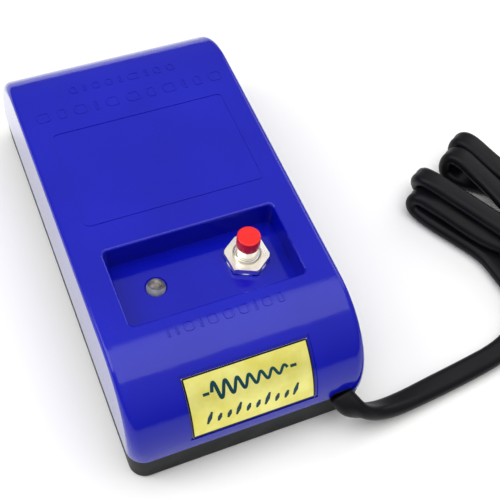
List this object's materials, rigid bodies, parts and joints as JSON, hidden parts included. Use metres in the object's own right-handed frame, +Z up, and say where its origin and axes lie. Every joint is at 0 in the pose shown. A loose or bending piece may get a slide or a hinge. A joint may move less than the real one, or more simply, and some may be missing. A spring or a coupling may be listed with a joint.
{
  "type": "demagnetizer",
  "caption": "Desktop demagnetizer for watches: plastic case with rounded ends over an open-core mains coil, recessed push button and lamp, flat cord with plug.",
  "frame": {"origin": "under the middle of the case, on the surface that it stands on; the free cord, its hank and its plug are not counted", "axes": "+X to the right, +Y to the back along the case's length, +Z up; the control recess and the label are at the -Y end"},
  "size_m": [0.1822, 0.1494, 0.0343],
  "materials": {
    "blue_shell": "glossy injection-moulded ABS",
    "black_plastic": "satin injection-moulded ABS",
    "gold_foil": "matt gold foil with dark teal print",
    "red_plastic": "glossy moulded cap",
    "chrome_plate": "polished nickel-chrome plate",
    "nickel_plate": "bright nickel plate",
    "spring_steel": "drawn wire",
    "zinc_steel": "zinc plated",
    "contact_brass": "stamped and tinned",
    "phenolic": "moulded phenolic",
    "led_epoxy": "water-clear epoxy",
    "resistor_body": "lacquered film resistor",
    "diode_body": "moulded epoxy",
    "core_iron": "silicon steel laminations",
    "nylon_white": "natural nylon",
    "enamelled_copper": "enamelled winding wire",
    "tape_yellow": "polyester tape",
    "pvc_black": "soft PVC sheath",
    "pvc_brown": "PVC insulation",
    "pvc_blue": "PVC insulation",
    "blade_brass": "nickel-plated brass blades"
  },
  "bodies": {
    "case": {"top_shell": "blue_shell", "base_plate": "black_plastic", "case_screws": "zinc_steel", "label_plate": "gold_foil", "button_spring": "spring_steel", "switch_bushing": "nickel_plate", "hex_nut": "nickel_plate", "lock_washer": "nickel_plate", "switch_body": "phenolic", "switch_lugs": "contact_brass", "led_lens": "led_epoxy", "led_leads": "zinc_steel", "led_resistor": "resistor_body", "led_diode": "diode_body", "core_stack": "core_iron", "coil_bobbin": "nylon_white", "coil_winding": "enamelled_copper", "winding_tape": "tape_yellow", "bobbin_pins": "contact_brass", "core_bracket": "zinc_steel", "bracket_bolts": "zinc_steel", "bracket_nuts": "zinc_steel", "cord_inside": "pvc_black", "cord_tie": "nylon_white", "wire_live": "pvc_brown", "wire_neutral": "pvc_blue", "wire_switched": "pvc_brown", "wire_led_anode": "pvc_brown", "wire_led_cathode": "pvc_blue", "cord_lead": "pvc_black", "cord_hank": "pvc_black", "cord_tail": "pvc_black", "plug_body": "pvc_black", "plug_blades": "blade_brass"},
    "button": {"button_cap": "red_plastic", "button_plunger": "chrome_plate", "contact_bridge": "contact_brass"}
  },
  "joints": [
    {"name": "button_press", "type": "slide", "parent": "case", "child": "button", "axis": [0, 0, -1], "range_m": [0, 0.0022], "stiffness_N_per_m": 900, "springref_m": -0.0015, "deforming": ["button_spring"]}
  ]
}
